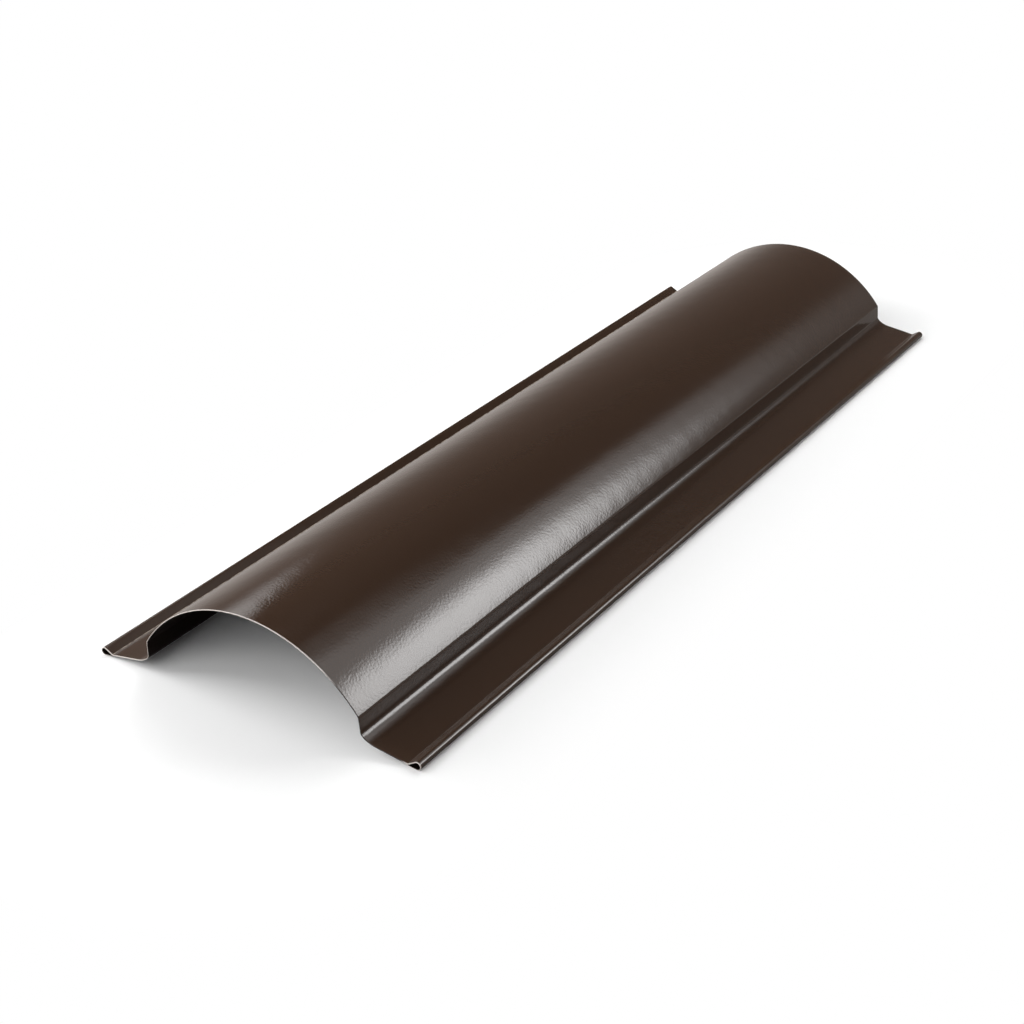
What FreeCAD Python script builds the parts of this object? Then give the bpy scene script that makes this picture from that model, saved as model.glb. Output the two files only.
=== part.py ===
"""Half-round roof ridge cap, roll-formed from one strip of coated steel sheet.

The cap is a single bent sheet of constant section. From the crown outward, on
both sides, the strip makes the round arch, a crease, a short steep web, a foot
bend that eases into a wider sweep, a flange that falls outward, and a bead. The
bead is a hem: the sheet climbs, loops over and comes back underneath, so that
its raw edge is hidden.

Frame: X across the ridge, Y along it, Z up. The origin is at the middle of the
cap's length and width, at the level of the floor that the two beads rest on.
"""

import FreeCAD
import Part

import math
import os

# Sizes in millimetres, angles in degrees. A bend radius is that of the inside
# of the bend. The arch radius is that of the outside of the crown.
LENGTH = 800.0
SHEET = 0.5
ARCH_RADIUS = 110.0
ARCH_ANGLE = 108.4          # of the arch, from crease to crease
CREASE_RADIUS = 2.1         # from the arch into the web
WEB_LENGTH = 10.3           # straight part of the web
WEB_LEAN = 4.0              # from vertical, with its foot outward
FOOT_RADIUS = 5.1           # from the web into the sweep
SWEEP_RADIUS = 21.0         # from the foot bend into the flange
SWEEP_SLOPE = 33.6          # fall where the foot bend passes into the sweep
FLANGE_WIDTH = 24.2         # flat part of the flange, along its slope
FLANGE_DROOP = 9.1          # fall of the flange outward
BEAD_WIDTH = 10.9           # from the end of the flange's flat to the outermost point
BEAD_HEIGHT = 5.9           # outside height of the loop
RISE_RADIUS = 2.0           # from the flange up into the bead
RETURN_SLOPE = 8.0          # fall of the return leg outward
RETURN_CLEARANCE = 0.15     # between the return leg and the sheet above it
RETURN_STOP = 0.5           # from the end of the flange's flat to the hidden raw edge

CROWN = (0.0, 0.0, 0.0)


class Run:
    """A straight stretch of the strip."""

    def __init__(self, length):
        self.length = length

    def end(self, x, z, heading):
        """Where the middle of the sheet gets to from this place, and its heading there."""
        ahead_x, ahead_z = math.cos(heading), math.sin(heading)
        return x + self.length * ahead_x, z + self.length * ahead_z, heading

    def edge(self, place, offset):
        """The stretch's edge on the sheet's face at this offset from its middle."""
        ends = face_point(place, offset), face_point(self.end(*place), offset)
        return Part.LineSegment(*ends).toShape()


class Bend:
    """A round stretch of the strip. A positive angle turns up, a negative one down."""

    def __init__(self, middle_radius, angle):
        self.radius = middle_radius
        self.angle = angle

    def end(self, x, z, heading):
        """Where the middle of the sheet gets to from this place, and its heading there."""
        turn = math.copysign(self.radius, self.angle)
        centre_x, centre_z = x - turn * math.sin(heading), z + turn * math.cos(heading)
        after = heading + self.angle
        return centre_x + turn * math.sin(after), centre_z - turn * math.cos(after), after

    def edge(self, place, offset):
        """The bend's edge on the sheet's face at this offset from its middle."""
        shares = (Bend(self.radius, self.angle * share) for share in (0.0, 0.5, 1.0))
        return Part.Arc(*(face_point(part.end(*place), offset) for part in shares)).toShape()


def face_point(place, offset):
    """The point beside a place, at this distance to the left of its heading."""
    x, z, heading = place
    return FreeCAD.Vector(x - offset * math.sin(heading), 0, z + offset * math.cos(heading))


def walk(stretches, start):
    """The places where the stretches begin, in turn, and the one where the last ends."""
    places = [start]
    for stretch in stretches:
        places.append(stretch.end(*places[-1]))
    return places


def bead_stretches():
    """The stretches from the end of the flange's flat to the raw edge.

    The return leg runs in just under the sheet, which fixes the centre of the
    loop. The rise is the straight line that touches the rise bend and the loop.
    """
    droop, slope = math.radians(FLANGE_DROOP), math.radians(RETURN_SLOPE)
    loop = (BEAD_HEIGHT - SHEET) / 2
    rise = RISE_RADIUS + SHEET / 2
    loop_x = BEAD_WIDTH - BEAD_HEIGHT / 2
    leg_depth = (SHEET + RETURN_CLEARANCE) / math.cos(slope)
    leg_reach = loop_x - loop * math.sin(slope)
    loop_z = loop * math.cos(slope) - leg_reach * math.tan(slope) - leg_depth
    across, up = loop_x - rise * math.sin(droop), loop_z - rise * math.cos(droop)
    straight = math.sqrt(across**2 + up**2 - (rise + loop) ** 2)
    climb = math.atan2(up, across) + math.atan2(rise + loop, straight)
    return [
        Bend(rise, droop + climb),
        Run(straight),
        Bend(loop, -(climb + math.pi + slope)),
        Run(leg_reach / math.cos(slope) - RETURN_STOP),
    ]


def side_stretches():
    """The stretches from the end of the arch to the raw edge."""
    web, sweep = math.radians(90 - WEB_LEAN), math.radians(SWEEP_SLOPE)
    return [
        Bend(CREASE_RADIUS + SHEET / 2, math.radians(ARCH_ANGLE / 2) - web),
        Run(WEB_LENGTH),
        Bend(FOOT_RADIUS + SHEET / 2, web - sweep),
        Bend(SWEEP_RADIUS + SHEET / 2, sweep - math.radians(FLANGE_DROOP)),
        Run(FLANGE_WIDTH),
        *bead_stretches(),
    ]


def section():
    """The sheet's section as a face in the plane Y = 0, with its crown at the origin.

    The path starts at the left raw edge, which mirrors the right one.
    """
    arch, angle, side = ARCH_RADIUS - SHEET / 2, math.radians(ARCH_ANGLE), side_stretches()
    x, z, heading = walk([Bend(arch, -angle / 2), *side], CROWN)[-1]
    stretches = [*reversed(side), Bend(arch, -angle), *side]
    places = walk(stretches, (-x, z, -heading))
    edges = [
        stretch.edge(place, offset)
        for stretch, place in zip(stretches, places)
        for offset in (SHEET / 2, -SHEET / 2)
    ]
    for raw in (places[0], places[-1]):
        edges.append(Part.makeLine(face_point(raw, SHEET / 2), face_point(raw, -SHEET / 2)))
    return Part.Face(Part.Wire(Part.sortEdges(edges)[0]))


def floor_level():
    """The level of the loops' undersides, from the middle of the sheet at the crown."""
    arch = Bend(ARCH_RADIUS - SHEET / 2, -math.radians(ARCH_ANGLE / 2))
    _, z, heading = walk([arch, *side_stretches()[:-2]], CROWN)[-1]
    return z - (BEAD_HEIGHT - SHEET) / 2 * math.cos(heading) - BEAD_HEIGHT / 2


def ridge_cap():
    """The section carried along the ridge, standing on its beads."""
    face = section()
    face.translate(FreeCAD.Vector(0, -LENGTH / 2, -floor_level()))
    return face.extrude(FreeCAD.Vector(0, LENGTH, 0))


def main():
    os.makedirs("parts", exist_ok=True)
    cap = ridge_cap()
    cap.exportStep("parts/ridge_cap.step")
    box = cap.BoundBox
    print(f"size {box.XLength:.2f} x {box.YLength:.2f} x {box.ZLength:.2f} mm")
    print(f"low corner {box.XMin:.3f} {box.YMin:.3f} {box.ZMin:.3f}")
    print(f"valid {cap.isValid()} closed {cap.isClosed()} solids {len(cap.Solids)}")
    print(f"faces {len(cap.Faces)} strip width {cap.Volume / LENGTH / SHEET:.1f} mm")


main()
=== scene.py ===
"""The looks of a half-round roof ridge cap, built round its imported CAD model.

The cap is one bent sheet of coated steel. Its surface is worked out here again with a fine,
smooth mesh, so that the gloss runs clean along the arch, the bends and the beads. It gets
three finishes: the glossy coat on the outer face, the duller back coat on the inner face,
and bare metal on the cut edges. A studio stands round it: a pale floor, softboxes and a
camera.

Everything is in metres, X across the ridge, Y along it, Z up from the floor.
"""

import functools
import logging
import math
from collections.abc import Mapping
from dataclasses import dataclass
from enum import Enum

import bpy
import numpy as np
from mathutils import Matrix, Vector


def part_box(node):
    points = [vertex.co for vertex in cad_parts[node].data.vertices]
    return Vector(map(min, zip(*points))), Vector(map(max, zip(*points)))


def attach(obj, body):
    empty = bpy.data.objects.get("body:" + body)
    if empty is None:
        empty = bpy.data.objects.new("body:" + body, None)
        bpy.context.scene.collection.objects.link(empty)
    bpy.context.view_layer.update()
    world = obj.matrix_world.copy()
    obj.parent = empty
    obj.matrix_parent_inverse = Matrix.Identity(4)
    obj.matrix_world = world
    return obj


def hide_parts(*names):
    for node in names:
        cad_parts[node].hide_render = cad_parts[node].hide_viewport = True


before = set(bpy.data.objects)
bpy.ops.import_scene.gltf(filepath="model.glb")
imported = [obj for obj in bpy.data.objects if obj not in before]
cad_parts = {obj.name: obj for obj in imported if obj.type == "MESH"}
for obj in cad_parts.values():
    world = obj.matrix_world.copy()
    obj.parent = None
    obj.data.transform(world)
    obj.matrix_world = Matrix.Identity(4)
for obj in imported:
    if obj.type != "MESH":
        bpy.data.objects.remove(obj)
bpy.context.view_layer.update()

MM = 0.001
BODY = "root"
NODE = "ridge_cap"
UV_MAP = "strip"
# A Mix node's colours A and B and its mixed colour, by place, because their names come twice.
MIX_COLOUR_SOCKETS = 6, 7, 2
# The picture's width in pixels, and the sensor's in millimetres.
PICTURE = 1024
SENSOR = 36.0
NEAREST_IN_VIEW = 10 * MM
# The point inside the cap that the lamps face.
LAMP_AIM = (0.0, 0.0, 0.04)

log = logging.getLogger("ridge_cap")

Colour = tuple[float, float, float]


class Face(Enum):
    """The sheet's kinds of face. The value is the material's place on the mesh."""

    OUTER = 0
    INNER = 1
    CUT = 2


# ---- shader graphs


class Value:
    """A socket that carries a number, with arithmetic that adds Math nodes."""

    def __init__(self, graph: "Graph", socket: bpy.types.NodeSocket) -> None:
        """Wraps a socket of the graph."""
        self.graph = graph
        self.socket = socket

    def math(
        self, operation: str, *others: "Value | float", first: float | None = None
    ) -> "Value":
        """Adds a Math node.

        Args:
            operation: The node's operation.
            others: What follows this value in the node's sockets.
            first: What comes before this value, in a reflected operation.

        Returns:
            The node's result.
        """
        terms = (self, *others) if first is None else (first, self)
        node = self.graph.add("ShaderNodeMath", {"operation": operation}, dict(enumerate(terms)))
        return Value(self.graph, node.outputs[0])

    def __add__(self, other: "Value | float") -> "Value":
        """This value plus another."""
        return self.math("ADD", other)

    def __radd__(self, other: float) -> "Value":
        """A number plus this value."""
        return self.math("ADD", other)

    def __sub__(self, other: "Value | float") -> "Value":
        """This value less another."""
        return self.math("SUBTRACT", other)

    def __rsub__(self, other: float) -> "Value":
        """A number less this value."""
        return self.math("SUBTRACT", first=other)

    def __mul__(self, other: "Value | float") -> "Value":
        """This value times another."""
        return self.math("MULTIPLY", other)

    def __rmul__(self, other: float) -> "Value":
        """A number times this value."""
        return self.math("MULTIPLY", other)

    def __truediv__(self, other: "Value | float") -> "Value":
        """This value over another."""
        return self.math("DIVIDE", other)

    def __abs__(self) -> "Value":
        """This value without its sign."""
        return self.math("ABSOLUTE")

    def most(self, other: "Value | float") -> "Value":
        """The larger of this value and another."""
        return self.math("MAXIMUM", other)

    def least(self, other: "Value | float") -> "Value":
        """The smaller of this value and another."""
        return self.math("MINIMUM", other)

    def ramp(self, low: float, high: float, start: float = 0.0, end: float = 1.0) -> "Value":
        """Eases from start to end while this value goes from low to high.

        Args:
            low: The value at which the result is start.
            high: The value at which the result is end.
            start: The result at low and below.
            end: The result at high and above.

        Returns:
            The eased value.
        """
        node = self.graph.add(
            "ShaderNodeMapRange",
            {"interpolation_type": "SMOOTHSTEP"},
            {"Value": self, "From Min": low, "From Max": high, "To Min": start, "To Max": end},
        )
        return Value(self.graph, node.outputs["Result"])


Link = Value | bpy.types.NodeSocket | float | tuple


class Graph:
    """A node tree that starts empty."""

    def __init__(self, owner: bpy.types.ID) -> None:
        """Takes over the node tree of a material, lamp or world.

        Args:
            owner: The material, lamp or world.
        """
        owner.use_nodes = True
        self.tree = owner.node_tree
        self.tree.nodes.clear()

    def add(
        self,
        kind: str,
        settings: Mapping[str, object] | None = None,
        inputs: Mapping[str | int, Link] | None = None,
    ) -> bpy.types.Node:
        """Adds a node.

        Args:
            kind: The node's type.
            settings: The node's own settings, set before its sockets.
            inputs: The value or link of each socket, by name or place.

        Returns:
            The node.
        """
        node = self.tree.nodes.new(kind)
        for name, setting in (settings or {}).items():
            setattr(node, name, setting)
        for key, given in (inputs or {}).items():
            source = given.socket if isinstance(given, Value) else given
            if isinstance(source, bpy.types.NodeSocket):
                self.tree.links.new(source, node.inputs[key])
            else:
                node.inputs[key].default_value = source
        return node

    def place(self) -> bpy.types.NodeSocket:
        """The point's place on the object, in metres."""
        return self.add("ShaderNodeTexCoord").outputs["Object"]

    def parts(self, vector: bpy.types.NodeSocket) -> tuple[Value, ...]:
        """The X, Y and Z of a vector."""
        node = self.add("ShaderNodeSeparateXYZ", inputs={0: vector})
        return tuple(Value(self, socket) for socket in node.outputs)

    def ray(self, *kinds: str) -> Value:
        """1 for a ray of one of these kinds, named as the Light Path node does, or else 0."""
        path = self.add("ShaderNodeLightPath")
        return functools.reduce(Value.most, (Value(self, path.outputs[kind]) for kind in kinds))

    def noise(self, place: bpy.types.NodeSocket, wavelength: float, detail: float = 1.0) -> Value:
        """Noise about 0.5 whose lumps are about a wavelength apart.

        Args:
            place: The coordinates to read.
            wavelength: The distance between lumps, in metres.
            detail: The number of finer octaves.

        Returns:
            The noise.
        """
        inputs = {"Vector": place, "Scale": 1.0 / wavelength, "Detail": detail, "Roughness": 0.5}
        return Value(self, self.add("ShaderNodeTexNoise", inputs=inputs).outputs["Fac"])

    def stretched(self, place: bpy.types.NodeSocket, scale: tuple) -> bpy.types.NodeSocket:
        """The place with each axis scaled."""
        node = self.add("ShaderNodeVectorMath", {"operation": "MULTIPLY"}, {0: place, 1: scale})
        return node.outputs["Vector"]

    def tint(self, factor: Value | float, low: Link, high: Link) -> bpy.types.NodeSocket:
        """A colour between two colours or links, by a factor from 0 to 1.

        Args:
            factor: How far the result lies from the low colour to the high one.
            low: The colour at 0.
            high: The colour at 1.

        Returns:
            The mixed colour.
        """
        first, second, result = MIX_COLOUR_SOCKETS
        ends = [(*end, 1.0) if isinstance(end, tuple) else end for end in (low, high)]
        inputs = {"Factor": factor, first: ends[0], second: ends[1]}
        return self.add("ShaderNodeMix", {"data_type": "RGBA"}, inputs).outputs[result]

    def bump(
        self, height: Value, distance: float, under: bpy.types.NodeSocket | None = None
    ) -> bpy.types.NodeSocket:
        """A bumped normal.

        Args:
            height: The relief, from 0 to 1.
            distance: The relief's height in metres where it is 1.
            under: A normal that the relief is added to.

        Returns:
            The normal.
        """
        inputs: dict[str | int, Link] = {"Height": height, "Distance": distance, "Strength": 1.0}
        if under is not None:
            inputs["Normal"] = under
        return self.add("ShaderNodeBump", inputs=inputs).outputs["Normal"]

    def close(self, kind: str, shader: bpy.types.NodeSocket) -> None:
        """Links a shader to an output node of this type."""
        self.add(kind, inputs={"Surface": shader})


# ---- the sheet's finishes


@dataclass(frozen=True)
class CoilCoat:
    """A baked coil coating on zinc-coated steel, with the fine orange peel that such coats have.

    Its colour and roughness drift a little over the sheet. A painted highlight lightens it
    along a thin line, where a noise is above the first level of the highlight's patch cover,
    and fully above the second.
    """

    name: str
    colour: Colour
    drift: float = 0.05
    drift_wavelength: float = 90 * MM
    gloss_roughness: float = 0.13
    roughness_drift: float = 0.05
    roughness_wavelength: float = 25 * MM
    ior: float = 1.5
    peel_wavelength: float = 1.8 * MM
    peel_height: float = 0.078 * MM
    sway_wavelength: float = 14 * MM
    sway_height: float = 0.10 * MM
    # The painted highlight along the left rise bend: its width, colour, patch size and patch
    # cover.
    highlight_line_width: float = 1.0 * MM
    painted_highlight_colour: Colour = (0.50, 0.42, 0.34)
    highlight_patch_wavelength: float = 6 * MM
    highlight_patch_cover: tuple[float, float] = (0.25, 0.6)

    def material(self, highlight_line_place: float) -> bpy.types.Material:
        """Builds the coat's material.

        A painted highlight lightens the coat along a thin line in the sharp bend beside
        the left bead.

        Args:
            highlight_line_place: The place across the strip of the bend that holds the painted
                highlight, in metres.

        Returns:
            The material.
        """
        material = bpy.data.materials.new(self.name)
        graph = Graph(material)
        place = graph.place()
        cloud = graph.noise(place, self.drift_wavelength, detail=3.0)
        light, dark = (tuple(c * (1 + sign * self.drift) for c in self.colour) for sign in (1, -1))
        haze = graph.noise(place, self.roughness_wavelength, detail=2.0) - 0.5
        run = graph.parts(graph.add("ShaderNodeUVMap", {"uv_map": UV_MAP}).outputs["UV"])[0]
        # A thin line of painted highlight along the bend, in patches.
        line = abs(run - highlight_line_place).ramp(0.0, self.highlight_line_width / 2, 1.0, 0.0)
        patches = graph.noise(place, self.highlight_patch_wavelength, detail=2.0)
        painted_highlight = line * patches.ramp(*self.highlight_patch_cover)
        swell = graph.noise(place, self.sway_wavelength, detail=0.0)
        sway = graph.bump(swell, self.sway_height)
        peel = graph.bump(graph.noise(place, self.peel_wavelength), self.peel_height, sway)
        shader = graph.add(
            "ShaderNodeBsdfPrincipled",
            inputs={
                "Base Color": graph.tint(painted_highlight, graph.tint(cloud, dark, light), self.painted_highlight_colour),
                "Roughness": self.gloss_roughness + haze * self.roughness_drift,
                "IOR": self.ior,
                "Normal": peel,
            },
        )
        graph.close("ShaderNodeOutputMaterial", shader.outputs[0])
        return material


@dataclass(frozen=True)
class ShearedSteel:
    """The sheet's cut edge: zinc and bare steel, drawn by the shear across its thickness.

    It is darker over a stretch of its right part. The four right_darkening places along X
    are where that starts, is first full, is last full and ends.
    """

    name: str
    colour: Colour = (0.78, 0.73, 0.69)
    dark_colour: Colour = (0.56, 0.52, 0.49)
    right_darkening_colour: Colour = (0.03, 0.02, 0.016)
    right_darkening: tuple[float, float, float, float] = (60 * MM, 78 * MM, 119 * MM, 127 * MM)
    metal: float = 0.25
    roughness: float = 0.5
    grain_wavelength: float = 0.5 * MM
    grain_squash: tuple[float, float, float] = (1.0, 1.0, 0.4)
    grain_height: float = 0.02 * MM

    def material(self) -> bpy.types.Material:
        """Builds the cut edge's material.

        Returns:
            The material.
        """
        material = bpy.data.materials.new(self.name)
        graph = Graph(material)
        place = graph.place()
        squashed = graph.stretched(place, self.grain_squash)
        grain = graph.noise(squashed, self.grain_wavelength, detail=2.0)
        across = graph.parts(place)[0]
        # Darker over a stretch of the right part of the cut.
        right_darkening = across.ramp(*self.right_darkening[:2]) * across.ramp(*self.right_darkening[2:], 1.0, 0.0)
        steel = graph.tint(grain, self.dark_colour, self.colour)
        shader = graph.add(
            "ShaderNodeBsdfPrincipled",
            inputs={
                "Base Color": graph.tint(right_darkening, steel, self.right_darkening_colour),
                "Metallic": self.metal,
                "Roughness": self.roughness,
                "Normal": graph.bump(grain, self.grain_height),
            },
        )
        graph.close("ShaderNodeOutputMaterial", shader.outputs[0])
        return material


# ---- the cap


@dataclass(frozen=True)
class Stretches:
    """The strip as a row of straight stretches and bends.

    Each has the length of its middle line and its turn, in radians, where up is positive.
    """

    lengths: np.ndarray
    turns: np.ndarray

    def mirrored_whole(self) -> "Stretches":
        """The strip from its left raw edge to its right one, where this is its right half.

        Returns:
            The stretches in order, with the two halves of the arch as one.
        """
        arch = slice(0, 1)
        lengths = (self.lengths[:0:-1], 2 * self.lengths[arch], self.lengths[1:])
        turns = (self.turns[:0:-1], 2 * self.turns[arch], self.turns[1:])
        return Stretches(np.concatenate(lengths), np.concatenate(turns))

    def sampled(
        self, start: np.ndarray, heading: float, step_angle: float, step: float
    ) -> np.ndarray:
        """Points along the strip's middle line.

        A stretch that turns by a over a length l ends a chord away from its start. The chord
        is l times sin(a/2)/(a/2) long and points half of a away from the first heading. So
        does each share t of a stretch, with t l and t a.

        Args:
            start: The first point.
            heading: The heading there, in radians.
            step_angle: The largest turn between samples, in radians.
            step: The largest distance between samples.

        Returns:
            Rows of x, z, heading and distance run.
        """
        steps = np.maximum(np.abs(self.turns) / step_angle, self.lengths / step)
        counts = np.ceil(steps).astype(int)
        first_heading = heading + np.concatenate(([0.0], np.cumsum(self.turns)[:-1]))
        first_run = np.concatenate(([0.0], np.cumsum(self.lengths)[:-1]))
        chord = self.lengths * np.sinc(self.turns / math.tau)
        way = first_heading + self.turns / 2
        moves = np.column_stack((chord * np.cos(way), chord * np.sin(way)))
        corners = np.vstack((start, start + np.cumsum(moves, axis=0)[:-1]))
        which = np.repeat(np.arange(len(counts)), counts)
        before = np.repeat(np.cumsum(counts) - counts, counts)
        share = (np.arange(len(which)) - before + 1) / counts[which]
        turn = self.turns[which] * share
        reach = self.lengths[which] * share * np.sinc(turn / math.tau)
        way = first_heading[which] + turn / 2
        rows = np.column_stack((
            corners[which, 0] + reach * np.cos(way),
            corners[which, 1] + reach * np.sin(way),
            first_heading[which] + turn,
            first_run[which] + self.lengths[which] * share,
        ))
        return np.vstack(([*start, heading, 0.0], rows))


@dataclass
class RidgeCap:
    """The bent sheet, with sizes in metres and angles in degrees.

    The sizes are the CAD model's, apart from a rounder crease, a foot bend that is tighter
    and opens out before the sweep, and the arch angle, web and flange width that go with
    them. They move the sheet by a few tenths of a millimetre. bead_starts is the place of
    the bead's first stretch in the right half.
    """

    length: float
    sheet: float = 0.5 * MM
    arch_radius: float = 110.0 * MM
    arch_angle: float = 108.32
    crease_radius: float = 3.5 * MM
    web_length: float = 9.6 * MM
    web_lean: float = 3.0
    foot_radius: float = 3.2 * MM
    foot_slope: float = 56.0
    foot_end_radius: float = 8.0 * MM
    sweep_radius: float = 21.0 * MM
    sweep_slope: float = 33.6
    flange_width: float = 23.7 * MM
    flange_droop: float = 9.1
    bead_width: float = 10.9 * MM
    bead_height: float = 5.9 * MM
    rise_radius: float = 2.0 * MM
    return_slope: float = 8.0
    return_clearance: float = 0.15 * MM
    return_stop: float = 0.5 * MM
    bead_starts: int = 7
    step_angle: float = 2.5
    flat_step: float = 5.0 * MM
    rollover_reach: float = 0.5 * MM
    rollover_depth: float = 0.12 * MM
    rollover_steps: int = 6
    spans: int = 40
    outer_coat: CoilCoat = CoilCoat("chocolate_gloss_coat", (0.047, 0.0254, 0.0153))
    # The back coat is the outer coat's brown, darkened far below it as painted shade on the dark
    # inside of the arch.
    back_coat: CoilCoat = CoilCoat(
        "chocolate_back_coat", (0.006, 0.003, 0.002), gloss_roughness=0.42, ior=1.2
    )
    cut_edge: ShearedSteel = ShearedSteel("sheared_edge")

    def right_half(self) -> Stretches:
        """The strip from the crown to the right raw edge.

        The return leg runs in just under the sheet, which fixes the centre of the bead's
        loop. The rise is the straight line that touches the rise bend and the loop.

        Returns:
            The stretches in order.
        """
        droop, slope = math.radians(self.flange_droop), math.radians(self.return_slope)
        web, half_arch = math.radians(90 - self.web_lean), math.radians(self.arch_angle / 2)
        foot, sweep = math.radians(self.foot_slope), math.radians(self.sweep_slope)
        half = self.sheet / 2
        loop, rise = self.bead_height / 2 - half, self.rise_radius + half
        loop_x = self.bead_width - self.bead_height / 2
        reach = loop_x - loop * math.sin(slope)
        depth = (self.sheet + self.return_clearance) / math.cos(slope)
        loop_z = loop * math.cos(slope) - reach * math.tan(slope) - depth
        across, up = loop_x - rise * math.sin(droop), loop_z - rise * math.cos(droop)
        straight = math.sqrt(across**2 + up**2 - (rise + loop) ** 2)
        climb = math.atan2(up, across) + math.atan2(rise + loop, straight)
        rows = (
            (self.arch_radius - half, -half_arch),
            (self.crease_radius + half, half_arch - web),
            (self.web_length, 0.0),
            (self.foot_radius + half, web - foot),
            (self.foot_end_radius + half, foot - sweep),
            (self.sweep_radius + half, sweep - droop),
            (self.flange_width, 0.0),
            (rise, droop + climb),
            (straight, 0.0),
            (loop, -(climb + math.pi + slope)),
            (reach / math.cos(slope) - self.return_stop, 0.0),
        )
        sizes, turns = np.array(rows).T
        return Stretches(np.where(turns == 0.0, sizes, sizes * np.abs(turns)), turns)

    def section(self) -> np.ndarray:
        """The middle line of the whole section, standing on its beads.

        Returns:
            Rows of x, z, heading and distance run, from the left raw edge to the right one.
        """
        half = self.right_half()
        crown = np.array([0.0, -self.sheet / 2])
        right = half.sampled(crown, 0.0, math.radians(self.step_angle), self.flat_step)
        end_x, end_z, end_heading, _ = right[-1]
        start = np.array([-end_x, end_z])
        whole = half.mirrored_whole()
        rows = whole.sampled(start, -end_heading, math.radians(self.step_angle), self.flat_step)
        lowest = self.beside(rows, np.array([self.sheet / 2]))[..., 1].min()
        rows[:, 1] -= lowest
        return rows

    @staticmethod
    def beside(rows: np.ndarray, offsets: np.ndarray) -> np.ndarray:
        """Points beside the section's middle line, each offset to the left of the heading.

        Args:
            rows: The section's rows.
            offsets: The distances to the left.

        Returns:
            An array of offsets by rows by (x, z).
        """
        x, z, heading = rows[:, 0], rows[:, 1], rows[:, 2]
        left = np.column_stack((-np.sin(heading), np.cos(heading)))
        return np.column_stack((x, z))[None] + offsets[:, None, None] * left[None]

    def stations(self) -> tuple[np.ndarray, np.ndarray]:
        """Places along the length, close together where the shear has rolled the ends over.

        The rolled edge is a quarter of an ellipse: at a share s of its reach from where it
        starts, it has dropped by its depth times 1 less the root of (1 - s squared).

        Returns:
            The places along Y, and how far the outer face has dropped at each.
        """
        angle = np.linspace(0.0, math.pi / 2, self.rollover_steps + 1)
        far = self.length / 2 - self.rollover_reach * (1 - np.sin(angle))
        drop = self.rollover_depth * (1 - np.cos(angle))
        middle = np.linspace(-far[0], far[0], self.spans + 1)[1:-1]
        places = np.concatenate((-far[::-1], middle, far))
        return places, np.concatenate((drop[::-1], np.zeros_like(middle), drop))

    def polygons(self, index: np.ndarray) -> dict[Face, np.ndarray]:
        """The sheet's four-sided faces.

        Where the shear has rolled the outer face over, it counts as cut.

        Args:
            index: The number of each point, by face, station and place across.

        Returns:
            The corners of the faces of each kind.
        """

        def quads(*corners: np.ndarray) -> np.ndarray:
            """Faces from four equal grids of corners."""
            return np.stack(corners, axis=-1).reshape(-1, 4)

        top, under = index
        spans = len(top) - 1
        ends = self.rollover_steps, spans - self.rollover_steps
        near, plain, far = (
            quads(top[k, :-1], top[k, 1:], top[k + 1, 1:], top[k + 1, :-1])
            for k in np.split(np.arange(spans), ends)
        )
        cut = (
            quads(top[:-1, 0], top[1:, 0], under[1:, 0], under[:-1, 0]),
            quads(top[:-1, -1], under[:-1, -1], under[1:, -1], top[1:, -1]),
            quads(top[0, :-1], under[0, :-1], under[0, 1:], top[0, 1:]),
            quads(top[-1, :-1], top[-1, 1:], under[-1, 1:], under[-1, :-1]),
            near,
            far,
        )
        return {
            Face.OUTER: plain,
            Face.INNER: quads(under[:-1, :-1], under[1:, :-1], under[1:, 1:], under[:-1, 1:]),
            Face.CUT: np.concatenate(cut),
        }

    def mesh(self) -> bpy.types.Mesh:
        """The sheet's closed surface: two grids, joined at the raw edges and at both ends.

        Each grid is the section's outer or inner face carried along Y: a point is (x of the
        face, y of the station, z of the face), with the outer face's offset less its drop at
        the ends.

        Returns:
            The mesh, with a UV map of distance across the strip and along the cap.
        """
        rows = self.section()
        along, drop = self.stations()
        across, count = len(rows), len(along)
        outer = self.beside(rows, self.sheet / 2 - drop)
        inner = self.beside(rows, np.full(count, -self.sheet / 2))
        faces = np.stack((outer, inner))
        points = np.empty((2, count, across, 3))
        points[..., 0], points[..., 2] = faces[..., 0], faces[..., 1]
        points[..., 1] = along[None, :, None]
        index = np.arange(2 * count * across).reshape(2, count, across)
        kinds = self.polygons(index)
        corners = np.concatenate(list(kinds.values()))
        slots = np.concatenate([np.full(len(group), face.value) for face, group in kinds.items()])
        mesh = bpy.data.meshes.new(NODE + "_sheet")
        mesh.from_pydata(points.reshape(-1, 3).tolist(), [], corners.tolist())
        mesh.polygons.foreach_set("material_index", slots.astype(np.int32))
        mesh.shade_smooth()
        self.sharpen_rims(mesh, index.shape)
        run = np.broadcast_to(rows[:, 3], index.shape)
        way = np.broadcast_to(along[:, None], index.shape)
        strip = np.stack((run, way), axis=-1).reshape(-1, 2)[corners.reshape(-1)]
        layer = mesh.uv_layers.new(name=UV_MAP)
        layer.data.foreach_set("uv", strip.astype(np.float32).reshape(-1))
        mesh.validate()
        return mesh

    @staticmethod
    def sharpen_rims(mesh: bpy.types.Mesh, shape: tuple[int, int, int]) -> None:
        """Marks as sharp the edges where the outer or inner face meets a cut.

        Such an edge stays on one face, and both of its ends are in the face's first or last
        row, or both in its first or last column.

        Args:
            mesh: The sheet's mesh.
            shape: The numbers of faces, stations and points across.
        """
        ends = np.empty(2 * len(mesh.edges), dtype=np.int32)
        mesh.edges.foreach_get("vertices", ends)
        places = np.stack(np.unravel_index(ends.reshape(-1, 2), shape))
        same = places[..., 0] == places[..., 1]
        rim = (places[..., 0] == 0) | (places[..., 0] == np.array(shape)[:, None] - 1)
        sharp = same[0] & ((same & rim)[1] | (same & rim)[2])
        mark = mesh.attributes.new("sharp_edge", "BOOLEAN", "EDGE")
        mark.data.foreach_set("value", sharp)

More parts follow.
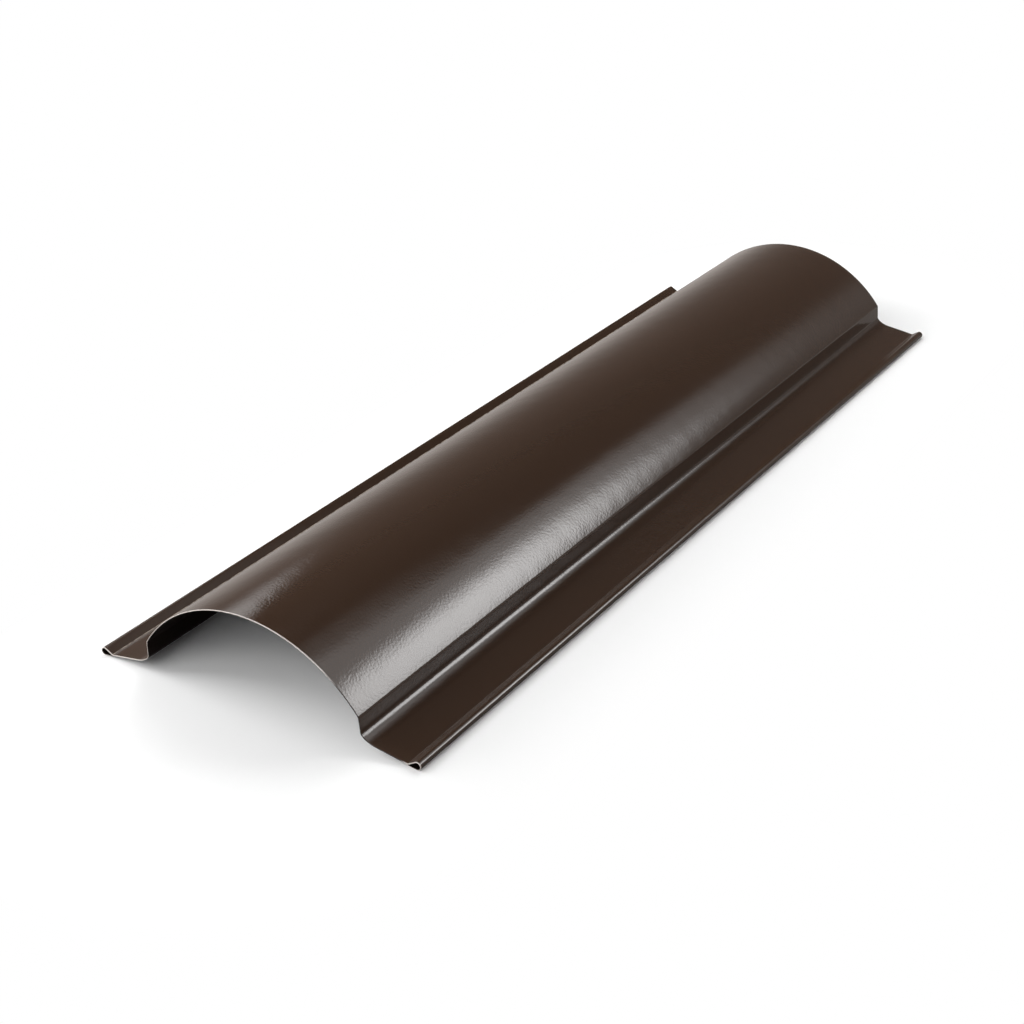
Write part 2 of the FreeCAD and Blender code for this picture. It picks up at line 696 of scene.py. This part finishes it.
    def build(self) -> bpy.types.Object:
        """Builds the sheet, dresses it and puts it on the frame.

        Returns:
            The sheet's object.
        """
        piece = bpy.data.objects.new("coated_sheet", self.mesh())
        bpy.context.scene.collection.objects.link(piece)
        # The painted highlight line lies in the left rise bend, just short of the flange.
        bead_lengths = self.right_half().lengths[self.bead_starts :]
        highlight_line_place = bead_lengths.sum() - self.rise_radius / 2
        for coat in (self.outer_coat, self.back_coat):
            piece.data.materials.append(coat.material(highlight_line_place))
        piece.data.materials.append(self.cut_edge.material())
        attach(piece, BODY)
        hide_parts(NODE)
        return piece


# ---- the studio


class Meets(Enum):
    """What a lamp's light meets: everything, or only gloss, or only what isn't gloss.

    The value is whether what is matt meets it, and whether gloss does.
    """

    ALL = (True, True)
    GLOSS = (False, True)
    MATT = (True, False)


@dataclass(frozen=True)
class Softbox:
    """A rectangular lamp whose brightness eases off towards its rim.

    It hangs at a bearing from the middle of the cap: an azimuth from +Y towards +X and an
    elevation above the floor, in degrees, and a distance. The rims are the shares of half
    the width and half the height over which it eases to nothing, and the foot's is that of
    the top if it has none of its own. The lean is how far its left rim moves in from the
    middle down to the foot, as a share of half the width. A lamp for gloss is mirrored in
    the coat and lights nothing else. One for what is matt lights the floor and the coat's
    own colour, and isn't mirrored.
    """

    name: str
    azimuth: float
    elevation: float
    distance: float
    width: float
    height: float
    radiance: float
    side_rim: float
    top_rim: float
    foot_rim: float | None = None
    lean: float = 0.0
    meets: Meets = Meets.ALL

    def build(self) -> bpy.types.Object:
        """Hangs the lamp and turns it to the cap.

        An area lamp of power P and area A shines with P over pi A, so P is worked out from
        the radiance. Over the lamp, that is multiplied by four eases, one to each rim.

        Returns:
            The lamp's object.
        """
        lamp = bpy.data.lights.new(self.name, "AREA")
        lamp.shape = "RECTANGLE"
        lamp.size, lamp.size_y = self.width, self.height
        lamp.energy = self.radiance * math.pi * self.width * self.height
        graph = Graph(lamp)
        spot = graph.parts(graph.add("ShaderNodeNewGeometry").outputs["Parametric"])
        leftward, upward = (part * 2.0 - 1.0 for part in spot[:2])
        foot_rim = self.top_rim if self.foot_rim is None else self.foot_rim
        leant = leftward + upward.ramp(-1.0, 0.0, self.lean, 0.0)
        left = leant.ramp(1.0 - self.side_rim, 1.0, 1.0, 0.0)
        right = leftward.ramp(-1.0, self.side_rim - 1.0)
        top = upward.ramp(1.0 - self.top_rim, 1.0, 1.0, 0.0)
        foot = upward.ramp(-1.0, foot_rim - 1.0)
        shine = graph.add("ShaderNodeEmission", inputs={"Strength": left * right * top * foot})
        graph.close("ShaderNodeOutputLight", shine.outputs[0])
        piece = bpy.data.objects.new(self.name, lamp)
        bpy.context.scene.collection.objects.link(piece)
        a, e = math.radians(self.azimuth), math.radians(self.elevation)
        out = Vector((math.sin(a) * math.cos(e), math.cos(a) * math.cos(e), math.sin(e)))
        piece.location = Vector(LAMP_AIM) + out * self.distance
        piece.rotation_euler = (-out).to_track_quat("-Z", "Y").to_euler()
        piece.visible_diffuse, piece.visible_glossy = self.meets.value
        return piece


@dataclass(frozen=True)
class Studio:
    """A pale floor, an open pale room and the softboxes.

    Tones and light levels are linear, where 1 is white. The floor is lit by the lamps out to
    the lit reach from the cap's middle line, and glows evenly from the plain reach on. In
    the gloss, the room glows in two bands that fade from the floor up to their tops, in
    degrees of elevation.
    """

    floor_size: float = 12.0
    floor_gap: float = 0.05 * MM
    floor_tone: float = 0.40
    far_floor_glow: float = 0.54
    floor_tone_in_view: float = 1.0
    lit_reach: float = 0.145
    plain_reach: float = 0.22
    room_light: float = 0.22
    room_glow: float = 0.31
    glow_top: float = 50.0
    low_glow: float = 0.17
    low_glow_top: float = 16.0
    warmth: Colour = (1.05, 0.98, 0.93)
    # Name, azimuth, elevation, distance, width, height, radiance, side rim and top rim.
    softboxes: tuple[Softbox, ...] = (
        Softbox("right_back", 46.7, 29.3, 2.2, 1.4, 1.0, 5.2, 0.7, 0.7, meets=Meets.MATT),
        Softbox(
            "right_back_core", 47.3, 26.4, 3.58, 2.37, 2.11, 9.3, 0.81, 0.78,
            foot_rim=0.855, lean=0.5, meets=Meets.GLOSS,
        ),
        Softbox("right_high", 57.7, 62.4, 3.22, 4.0, 1.32, 0.58, 0.3, 0.7, meets=Meets.GLOSS),
        Softbox("right_near", 98.8, 56.9, 0.8, 4.0, 0.68, 1.67, 0.7, 0.7, meets=Meets.GLOSS),
        Softbox("far_back", 22.0, 19.0, 3.5, 1.5, 1.3, 0.2, 0.8, 0.8, meets=Meets.GLOSS),
        Softbox("overhead", -49.4, 76.8, 2.0, 0.9, 0.9, 8.3, 0.3, 0.3, meets=Meets.GLOSS),
        Softbox("top_back", -21.0, 49.3, 1.07, 0.9, 0.9, 3.3, 0.3, 0.3, meets=Meets.MATT),
        Softbox("left_side", -115.0, 27.0, 1.6, 1.2, 1.0, 7.3, 0.3, 0.3),
        Softbox("front_low", 172.0, 13.0, 1.9, 2.4, 0.8, 1.45, 0.5, 0.5, meets=Meets.MATT),
        Softbox("front", -172.0, 30.0, 1.8, 1.8, 1.0, 2.7, 0.4, 0.4, meets=Meets.MATT),
        Softbox("left_back_spot", -65.9, 35.6, 1.34, 0.37, 0.86, 2.1, 0.3, 1.0, meets=Meets.GLOSS),
    )

    def floor(self, half_length: float) -> bpy.types.Object:
        """Lays the floor.

        In the camera's view it is white round the cap, with the cap's shadow on it, and
        plain white further out. Gloss and other light meet a darker floor in both parts, so
        that the coat isn't washed out. How far out a point lies is its distance from the
        cap's middle line on the floor.

        Args:
            half_length: Half of the cap's length.

        Returns:
            The floor's object.
        """
        half = self.floor_size / 2
        signs = (-1, -1), (1, -1), (1, 1), (-1, 1)
        corners = [(half * x, half * y, -self.floor_gap) for x, y in signs]
        mesh = bpy.data.meshes.new("studio_floor")
        mesh.from_pydata(corners, [], [(0, 1, 2, 3)])
        material = bpy.data.materials.new("pale_floor")
        graph = Graph(material)
        seen = graph.ray("Is Camera Ray", "Is Transmission Ray")
        across, along, _ = graph.parts(graph.place())
        beyond = (abs(along) - half_length).most(0.0)
        offset = graph.add("ShaderNodeCombineXYZ", inputs={0: across, 1: beyond})
        reach = graph.add("ShaderNodeVectorMath", {"operation": "LENGTH"}, {0: offset.outputs[0]})
        away = Value(graph, reach.outputs["Value"]).ramp(self.lit_reach, self.plain_reach)
        warm_tone = tuple(self.floor_tone * c for c in self.warmth)
        tone = graph.tint(seen, warm_tone, (self.floor_tone_in_view,) * 3)
        lit = graph.add("ShaderNodeBsdfDiffuse", inputs={"Color": tone})
        glow = self.far_floor_glow + seen * (1.0 - self.far_floor_glow)
        hue = graph.tint(seen, self.warmth, (1.0, 1.0, 1.0))
        plain = graph.add("ShaderNodeEmission", inputs={"Color": hue, "Strength": glow})
        shaders = {0: away, 1: lit.outputs[0], 2: plain.outputs[0]}
        mixed = graph.add("ShaderNodeMixShader", inputs=shaders)
        graph.close("ShaderNodeOutputMaterial", mixed.outputs[0])
        mesh.materials.append(material)
        floor = bpy.data.objects.new("studio_floor", mesh)
        bpy.context.scene.collection.objects.link(floor)
        return floor

    def room(self) -> bpy.types.World:
        """Fills the room with light.

        The camera sees white. Gloss sees the pale backdrop, whose bands of glow fade upwards
        with the sine of the elevation. Everything else gets an even light.

        Returns:
            The world.
        """
        world = bpy.data.worlds.new("studio_room")
        graph = Graph(world)
        seen = graph.ray("Is Camera Ray", "Is Transmission Ray")
        gloss = graph.ray("Is Glossy Ray")
        rise = graph.parts(graph.add("ShaderNodeTexCoord").outputs["Generated"])[2]
        bands = (self.glow_top, self.room_glow), (self.low_glow_top, self.low_glow)
        glow = sum(
            level * (1.0 - (rise / math.sin(math.radians(top))).most(0.0).least(1.0))
            for top, level in bands
        )
        light = self.room_light + (glow - self.room_light) * gloss
        hue = graph.tint(gloss, (1.0, 1.0, 1.0), self.warmth)
        strength = light + (1.0 - light) * seen
        shine = graph.add("ShaderNodeBackground", inputs={"Color": hue, "Strength": strength})
        graph.close("ShaderNodeOutputWorld", shine.outputs[0])
        bpy.context.scene.world = world
        return world

    def build(self, cap: RidgeCap) -> None:
        """Builds the floor, the room and the lamps round the cap.

        Args:
            cap: The cap, whose length the lit part of the floor goes by.
        """
        self.floor(cap.length / 2)
        self.room()
        for box in self.softboxes:
            box.build()
            log.info("softbox %s at radiance %.1f", box.name, box.radiance)


@dataclass(frozen=True)
class Viewpoint:
    """Where the photograph was taken from.

    Angles are in degrees, and the focal length is in picture pixels.
    """

    azimuth: float = 34.65
    elevation: float = 27.36
    roll: float = -2.51
    focal: float = 1771.2
    distance: float = 1351.2 * MM
    aim: tuple[float, float, float] = (9.65 * MM, -107.9 * MM, 14.2 * MM)

    def build(self) -> bpy.types.Object:
        """Sets up the camera.

        It looks back along (sin a cos e, -cos a cos e, sin e) from the aim, where a is the
        azimuth and e the elevation, and is turned about that line by the roll.

        Returns:
            The camera's object.
        """
        a, e, r = (math.radians(angle) for angle in (self.azimuth, self.elevation, self.roll))
        back = Vector((math.sin(a) * math.cos(e), -math.cos(a) * math.cos(e), math.sin(e)))
        right = Vector((math.cos(a), math.sin(a), 0.0))
        up = back.cross(right)
        rolled_right = right * math.cos(r) + up * math.sin(r)
        rolled_up = up * math.cos(r) - right * math.sin(r)
        camera = bpy.data.cameras.new("camera")
        camera.sensor_fit, camera.sensor_width = "HORIZONTAL", SENSOR
        camera.lens = self.focal / PICTURE * SENSOR
        camera.clip_start = NEAREST_IN_VIEW
        piece = bpy.data.objects.new("camera", camera)
        bpy.context.scene.collection.objects.link(piece)
        turn = Matrix((rolled_right, rolled_up, back)).transposed().to_4x4()
        piece.matrix_world = Matrix.Translation(Vector(self.aim) + back * self.distance) @ turn
        bpy.context.scene.camera = piece
        return piece


def main() -> None:
    """Builds the view, the cap and the studio, and says what each piece is."""
    logging.basicConfig(level=logging.INFO, format="%(name)s: %(message)s")
    bpy.context.scene.view_settings.view_transform = "Standard"
    Viewpoint().build()
    low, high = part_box(NODE)
    cap = RidgeCap(length=high.y - low.y)
    piece = cap.build()
    size = piece.dimensions / MM
    log.info("%s: %d faces, %.1f x %.1f x %.1f mm", piece.name, len(piece.data.polygons), *size)
    Studio().build(cap)


if __name__ == "__main__":
    main()
